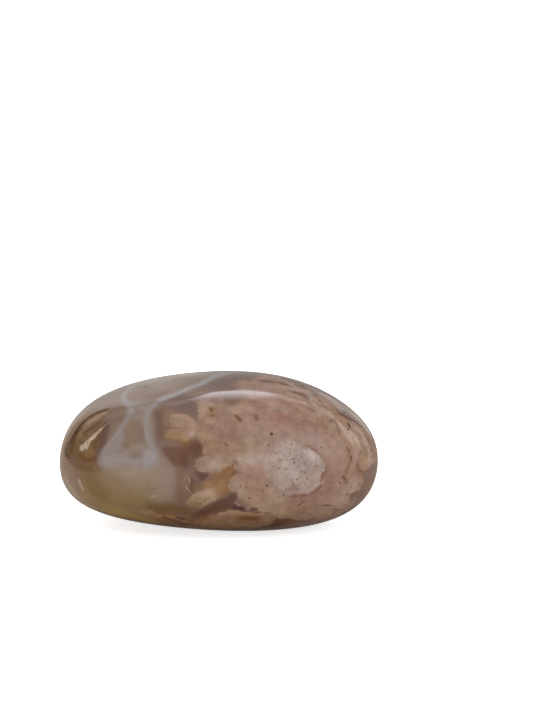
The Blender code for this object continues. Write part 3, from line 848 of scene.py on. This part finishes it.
class Nodes:
    """Short calls that add and link shader nodes."""

    def __init__(self, tree):
        self.tree = tree

    def add(self, kind, **settings):
        node = self.tree.nodes.new(kind)
        for name, value in settings.items():
            setattr(node, name, value)
        return node

    def feed(self, socket, value):
        if isinstance(value, bpy.types.NodeSocket):
            self.tree.links.new(value, socket)
        elif value is not None:
            socket.default_value = value

    def give(self, node, values):
        """Feeds a node's inputs, named or numbered."""
        for name, value in values.items():
            self.feed(node.inputs[name], value)

    def math(self, operation, a, b=None, c=None, clamp=False):
        node = self.add("ShaderNodeMath", operation=operation, use_clamp=clamp)
        self.give(node, {0: a, 1: b, 2: c})
        return node.outputs[0]

    def total(self, first, *rest):
        for value in rest:
            first = self.math("ADD", first, value)
        return first

    def times(self, first, *rest):
        for value in rest:
            first = self.math("MULTIPLY", first, value)
        return first

    def swing(self, value, amount, middle=0.5):
        """The value's difference from its middle, times an amount."""
        return self.math("MULTIPLY_ADD", value, amount, -middle * amount)

    def vector(self, operation, a, b=None, scale=None):
        node = self.add("ShaderNodeVectorMath", operation=operation)
        self.give(node, {0: a, 1: b, 3: scale})
        return node.outputs["Value" if operation == "DISTANCE" else "Vector"]

    def step(self, value, low, high, start=0.0, end=1.0):
        """The start where the value is low, the end where it is high, and a smooth turn between them."""
        node = self.add("ShaderNodeMapRange", interpolation_type="SMOOTHSTEP")
        self.give(node, {"Value": value, "From Min": low, "From Max": high, "To Min": start, "To Max": end})
        return node.outputs[0]

    def plateau(self, value, rise, fall, height=1.0):
        """A height between a rise and a fall of the value, each given by where it starts and ends."""
        return self.times(self.step(value, *rise), self.step(value, *fall, height, 0.0))

    def blend(self, base, top, share):
        node = self.add("ShaderNodeMix", data_type="RGBA")
        base_socket, top_socket = [s for s in node.inputs if s.type == "RGBA"]
        self.feed(node.inputs[0], share)
        self.feed(base_socket, base)
        self.feed(top_socket, top)
        return [s for s in node.outputs if s.type == "RGBA"][0]

    def field(self, name, output="Fac"):
        return self.add("ShaderNodeAttribute", attribute_name=name).outputs[output]

    def painted(self, name, brightness):
        return self.vector("SCALE", self.field(name, "Color"), scale=brightness)

    def noise(self, place, waves, detail=3.0, output="Fac", roughness=0.55):
        node = self.add("ShaderNodeTexNoise")
        self.give(node, {"Vector": place, "Scale": waves, "Detail": detail, "Roughness": roughness})
        return node.outputs[output]

    def cells(self, place, per_mm, output="Distance"):
        node = self.add("ShaderNodeTexVoronoi")
        self.give(node, {"Vector": place, "Scale": per_mm})
        return node.outputs[output]

    def stroke(self, name, inner, outer, uneven):
        """1 on the lines of a pair of fields that strokes gave, 0 beside them, with an uneven edge."""
        aside = self.math("ABSOLUTE", self.field(name + "_side"))
        half = self.field(name + "_half")
        ratio = self.total(self.math("DIVIDE", aside, self.math("MAXIMUM", half, 0.001)), uneven)
        drawn = self.step(half, 0.01, 0.05)
        return self.times(self.step(ratio, inner, outer, 1.0, 0.0), drawn)


# How many of each texture's waves or cells lie side by side in a millimetre.
LUMPS, BEADS, SPECKS = 0.62, 1.5, 1.15
CLOUDS, TINGES, MOTTLE, SHAKES, GRAIN = 0.16, 0.45, 0.7, 1.3, 3.0
SHAKE_MM = 0.9  # how far the shaking moves the lumps and beads
FIBRE_TILT = radians(38.0)  # how far the brown patch's fibres climb from the stone's length

# Colours that the material lays over the painted ones, and factors that darken or tinge them: the crease
# factors are painted shade.
MILK_TINT, SEAM_TINT, VEIN_AND_GLINT_TINT, SPECK_TINT = (151, 147, 149), (66, 42, 30), (182, 165, 148), (98, 74, 52)
# the streak's two colours are a painted highlight
GLINT_STREAK_TINT, GLINT_STREAK_CRINKLES = (146, 123, 101), (204, 189, 168)
PLUME_IN_CREASE_SHADE, STONE_IN_CREASE_SHADE = (0.76, 0.69, 0.67), (0.72, 0.66, 0.64)
MAUVE_TINGE, GREEN_TINGE = (1.015, 1.0, 1.02, 1.0), (0.995, 1.015, 0.985, 1.0)

AGATE_IOR = 1.54
POLISHED = 0.075  # the roughness of the clear stone
BUMP_MM = 0.02
BUMP_STRENGTH = 0.5


def rgb(colour):
    return tuple(light(colour)) + (1.0,)


def new_material(name):
    """A material, its nodes and its shader."""
    material = bpy.data.materials.new(name)
    material.use_nodes = True
    return material, Nodes(material.node_tree), material.node_tree.nodes["Principled BSDF"]


def agate_material():
    material, n, shader = new_material("flower_agate")

    # places in mm from the stone's heart, and the same places shaken a little
    place = n.vector("SCALE", n.add("ShaderNodeTexCoord").outputs["Object"], scale=1 / MM)
    place = n.vector("SUBTRACT", place, tuple(HEART))
    shake = n.vector("SUBTRACT", n.noise(place, SHAKES, 2.0, "Color"), (0.5, 0.5, 0.5))
    shaken = n.vector("ADD", place, n.vector("SCALE", shake, scale=SHAKE_MM))

    lumps, beads = n.cells(shaken, LUMPS), n.cells(shaken, BEADS)
    clouds, mottle = n.noise(place, CLOUDS, 3.0), n.noise(place, MOTTLE, 4.0)
    grain = n.noise(place, GRAIN, 4.0, roughness=0.6)
    textures = dict(lumps=lumps, beads=beads, clouds=clouds, mottle=mottle, grain=grain)

    def uneven(base, **amounts):
        """A number that amounts of the textures move up and down."""
        return n.total(base, *[n.swing(textures[name], amount) for name, amount in amounts.items()])

    # the clear stone: cloudy, with fine layers beside the milky bands
    layer_place = n.add("ShaderNodeCombineXYZ")
    n.give(layer_place, {0: n.field("milk_layers"), 1: n.times(clouds, 1.5)})
    layers = n.swing(n.noise(layer_place.outputs[0], 2.4, 2.0), 0.22)
    layers = n.times(layers, n.step(n.field("milk_layers"), 1.5, 3.9, 1.0, 0.0))
    body = n.painted("body_colour", n.total(uneven(1.0, clouds=0.24, mottle=0.12, grain=0.05), layers))
    milk = n.math("MULTIPLY", n.field("milk"), n.total(uneven(0.95, mottle=0.5), layers), clamp=True)
    body = n.blend(body, rgb(MILK_TINT), milk)

    # the plumes: rounded lumps and beads with painted shade, paler in their middles and darker at their
    # borders, a touch paler on crisp rims and darker on soft ones, and darker where they meet
    plume = uneven(1.02, lumps=-0.31, beads=-0.16, mottle=0.28, grain=0.17)
    blur = n.field("blur")
    ragged = n.total(n.swing(lumps, -0.5, 0.45), n.swing(beads, -0.4, 0.45), n.swing(grain, 0.5))
    depth = n.total(n.field("plume"), ragged)
    plume_share = n.step(depth, n.math("SUBTRACT", -0.06, blur), n.total(0.1, blur))
    # painted shade along the plumes' edges: a touch paler where an edge is crisp, darker where it is soft
    rim = n.times(n.step(depth, 0.1, 0.8, 1.0, 0.0), n.step(blur, 0.0, 0.25, 0.03, -0.12))
    plume = n.painted("plume_colour", n.total(plume, rim))
    tinge = n.blend(MAUVE_TINGE, GREEN_TINGE, n.step(n.noise(place, TINGES, 3.0), 0.35, 0.65))
    plume = n.vector("MULTIPLY", plume, tinge)
    # painted shade in the creases between lobes
    crease_shade = n.stroke("crease_shade", 0.0, 1.7, n.swing(mottle, 1.6))
    plume = n.blend(plume, n.vector("MULTIPLY", plume, PLUME_IN_CREASE_SHADE), crease_shade)

    # the white heart, of coarser granules
    blurred = n.field("white_blur")
    start, end = n.math("MULTIPLY_ADD", blurred, -1.3, -0.05), n.math("MULTIPLY_ADD", blurred, 1.3, 0.1)
    white_share = n.step(n.total(n.field("white"), n.times(ragged, 0.7)), start, end)
    white = n.painted("white_colour", uneven(1.0, lumps=-0.26, beads=-0.24, mottle=0.34, grain=0.14))
    plume = n.blend(plume, white, white_share)

    # the clear stone again: the painted shade of the creases runs on in it, and a plume just below the
    # surface shows through
    body = n.blend(body, n.vector("MULTIPLY", body, STONE_IN_CREASE_SHADE), n.times(crease_shade, 0.6))
    body = n.blend(body, n.field("plume_colour", "Color"), n.step(depth, -1.0, 0.1, 0.0, 0.2))
    colour = n.blend(body, plume, plume_share)

    # the brown patch: fibres along its length, the pale crinkled streak of painted highlight, and the dark
    # seams
    fibre_place = n.add("ShaderNodeMapping")
    n.give(fibre_place, {"Vector": shaken, "Rotation": (0.0, FIBRE_TILT, 0.0), "Scale": (0.35, 1.0, 1.6)})
    fibres = n.noise(fibre_place.outputs[0], 1.2, 5.0)
    patch = n.painted("patch_colour", uneven(n.total(1.03, n.swing(fibres, 1.1)), grain=0.25))
    patch_depth = uneven(n.field("brown_patch"), mottle=0.3)
    patch_share = n.step(patch_depth, n.math("SUBTRACT", -0.15, blur), n.total(0.15, blur))
    colour = n.blend(colour, patch, patch_share)
    crinkle = n.step(n.noise(fibre_place.outputs[0], 4.0, 3.0), 0.42, 0.6)
    # painted highlight: the pale crinkled glint streak
    glint_streak_share = n.step(n.total(n.field("glint_streak"), n.swing(fibres, 0.5)), -0.1, 0.4)
    colour = n.blend(colour, n.blend(rgb(GLINT_STREAK_TINT), rgb(GLINT_STREAK_CRINKLES), crinkle), glint_streak_share)
    seam = n.stroke("seam", 0.0, 1.4, n.swing(mottle, 1.2))
    colour = n.blend(colour, rgb(SEAM_TINT), n.times(seam, 0.8))
    # pale veins, and one painted glint
    vein_and_glint = n.stroke("vein_and_glint", 0.0, 1.6, n.swing(mottle, 1.6))
    colour = n.blend(colour, rgb(VEIN_AND_GLINT_TINT), n.times(vein_and_glint, 0.42))

    # specks and single spots
    speck_place = n.vector("MULTIPLY", shaken, (1.0, 1.0, 1.5))
    size = n.times(n.cells(speck_place, SPECKS, "Color"), 0.3)
    speck = n.step(n.math("SUBTRACT", n.cells(speck_place, SPECKS), size), -0.03, 0.07, 1.0, 0.0)
    speck = n.times(speck, n.field("speckles"))
    colour = n.blend(colour, rgb(SPECK_TINT), n.times(speck, 0.85))
    spot_shares = []
    for tint, soft, *numbers in SPOTS.values():
        rows = np.reshape(numbers, (-1, 3))
        nearest = None
        for middle, radius in zip(front(*rows[:, :2].ravel()), rows[:, 2]):
            beyond = n.math("SUBTRACT", n.vector("DISTANCE", place, tuple(middle)), radius)
            nearest = beyond if nearest is None else n.math("MINIMUM", nearest, beyond)
        share = n.step(uneven(nearest, grain=0.25), -soft, soft, 1.0, 0.0)
        colour = n.blend(colour, rgb(tint), n.times(share, 0.85))
        spot_shares.append(share)
    pit = spot_shares[0]  # the black spots are small open pits

    # the polish: glassy on the clear stone, a little duller on the plumes, rough in pits and on the painted
    # glint streak
    duller = n.times(plume_share, uneven(0.02, grain=0.06))
    rough = n.total(POLISHED, duller, n.times(speck, 0.25), n.times(pit, 0.3), n.times(glint_streak_share, 0.15))
    beaded = n.swing(n.times(beads, plume_share), -0.2)
    height = n.total(n.swing(mottle, 0.12), beaded, n.times(speck, -0.5), n.times(pit, -1.0))
    bump = n.add("ShaderNodeBump")
    n.give(bump, {"Distance": BUMP_MM * MM, "Strength": BUMP_STRENGTH, "Height": height})
    n.give(shader, {"Base Color": colour, "Roughness": rough, "IOR": AGATE_IOR, "Normal": bump.outputs[0]})
    return material


piece = make_skin()
piece.data.materials.append(agate_material())


# ---------------------------------------------------------------- the studio

FLOOR_RADIUS_M = 3.0
FLOOR_CORNERS = 96
FLOOR_COLOUR = (0.9, 0.9, 0.9, 1.0)
FLOOR_GLOW = 0.74  # light that the floor adds where the camera sees it

PLAIN_LIGHT, WARM_LIGHT, STRIP_TINT = (1.0, 1.0, 1.0, 1.0), (1.0, 0.84, 0.7, 1.0), (0.91, 0.91, 1.0, 1.0)
EVEN_LIGHT = 1.15  # what falls on matt surfaces from all round
DIM_ROOM = 0.06  # what the polish mirrors where the room has nothing brighter

# The thin slits of light: how much each one slopes, its climb straight behind the stone, and its two ends.
SLITS = ((-0.45, 35.9, -10.8, -4.5), (-0.37, 41.3, -18.0, -10.0))


def make_floor():
    mesh = bpy.data.meshes.new("floor")
    turns = [2 * pi * k / FLOOR_CORNERS for k in range(FLOOR_CORNERS)]
    rim = [(FLOOR_RADIUS_M * cos(a), FLOOR_RADIUS_M * sin(a), 0) for a in turns]
    mesh.from_pydata(rim, [], [range(FLOOR_CORNERS)])
    floor = put("floor", mesh)
    material, n, shader = new_material("pale_floor")
    glow = n.times(n.add("ShaderNodeLightPath").outputs["Is Camera Ray"], FLOOR_GLOW)
    n.give(shader, {"Base Color": FLOOR_COLOUR, "Roughness": 0.9, "Specular IOR Level": 0.0})
    n.give(shader, {"Emission Color": PLAIN_LIGHT, "Emission Strength": glow})
    mesh.materials.append(material)
    floor.visible_glossy = False  # the studio gives what the polish mirrors of it


def strip_light(n, climb, turn):
    """A long light overhead, and two thin slits by its left end.

    Its near edge is sharp and bends up at both ends, and it fades away from that edge.
    """
    bends = n.math("MAXIMUM", n.times(turn, 0.17), n.math("MULTIPLY_ADD", turn, -0.8, -4.5))
    edge = n.total(n.math("MINIMUM", n.math("MAXIMUM", bends, 0.0), 2.9), 40.1)
    deep = n.math("DIVIDE", n.math("SUBTRACT", climb, edge), n.step(turn, -9.0, 0.0, 7.5, 14.0))
    along = n.plateau(turn, (-12.5, -5.5), (5.0, 16.0))
    lit = n.times(n.plateau(deep, (-0.03, 0.03), (-0.1, 1.0)), n.math("MAXIMUM", along, 0.08), 3.5)
    for slope, start, low, high in SLITS:
        off = n.math("ABSOLUTE", n.math("SUBTRACT", climb, n.math("MULTIPLY_ADD", turn, slope, start)))
        ends = n.plateau(turn, (low, low + 2.0), (high - 3.0, high), 1.2)
        lit = n.total(lit, n.times(n.step(off, 0.15, 0.6, 1.0, 0.0), ends))
    return lit


def pale_wall(n, climb, turn, up):
    """A wall behind the stone, dim in its middle and brighter low down on both sides."""
    slope = n.math("MULTIPLY_ADD", turn, 1.05, 62.0)
    top = n.math("MINIMUM", slope, n.step(turn, -13.0, -10.0, 40.5, 38.2))
    shape = n.step(n.math("SUBTRACT", top, climb), -0.4, 0.6)
    shape = n.times(shape, n.plateau(turn, (-46.0, -44.0), (25.0, 27.0)))
    middle = n.step(climb, 12.0, 32.0, 0.26, 0.05)
    right = n.times(n.step(climb, 0.0, 34.0, 0.5, 0.06), n.step(turn, 5.0, 15.0))
    left = n.step(turn, n.step(climb, 12.0, 26.0, -6.5, -11.0), -1.0, 0.45, 0.0)
    along = n.times(n.step(turn, -38.0, -26.0, 0.4, 1.0), n.step(turn, -22.0, -10.0, 1.8, 1.0))
    left = n.times(left, along, n.step(climb, 26.0, 37.0, 1.0, 0.68))
    lit = n.math("MAXIMUM", middle, n.math("MAXIMUM", left, right))
    return n.times(shape, lit, n.step(up, -0.03, 0.02))


def light_studio():
    """An even pale light for what is matt, and a dim room with lights for the polish to mirror."""
    world = bpy.data.worlds.new("studio")
    bpy.context.scene.world = world
    world.use_nodes = True
    n = Nodes(world.node_tree)
    background = world.node_tree.nodes["Background"]
    split = n.add("ShaderNodeSeparateXYZ")
    n.feed(split.inputs[0], n.add("ShaderNodeTexCoord").outputs["Generated"])
    side, back, up = split.outputs
    # degrees that a direction climbs from the horizon behind the stone, and turns from there to the right
    climb = n.times(n.math("ARCTAN2", up, back), 180 / pi)
    turn = n.times(n.math("ARCTAN2", side, back), 180 / pi)

    strip = strip_light(n, climb, turn)
    table = n.times(n.step(up, 0.01, -0.04), n.step(up, n.step(turn, -26.0, -5.0, -0.85, -0.58), -0.2))
    table = n.times(table, n.step(turn, -30.0, 8.0, 0.56, 0.2))
    lamp = n.plateau(turn, (48.0, 52.0), (58.0, 62.0))
    lamp = n.times(lamp, n.plateau(up, (0.22, 0.28), (0.49, 0.55), 0.9))
    room = n.total(strip, pale_wall(n, climb, turn, up), table, lamp, DIM_ROOM)

    glossy = n.add("ShaderNodeLightPath").outputs["Is Glossy Ray"]
    cool = n.times(n.step(up, -0.15, 0.2), n.step(turn, -32.0, -20.0, 0.3, 1.0))
    mirrored = n.blend(n.blend(WARM_LIGHT, PLAIN_LIGHT, cool), STRIP_TINT, n.step(strip, 0.0, 0.4))
    n.feed(background.inputs["Color"], n.blend(PLAIN_LIGHT, mirrored, n.step(glossy, 0.0, 1.0, 0.6, 1.0)))
    even = n.times(n.math("SUBTRACT", 1.0, glossy), EVEN_LIGHT)
    n.feed(background.inputs["Strength"], n.total(even, n.times(glossy, room)))
    bpy.context.scene.view_settings.view_transform = "Standard"


make_floor()
light_studio()
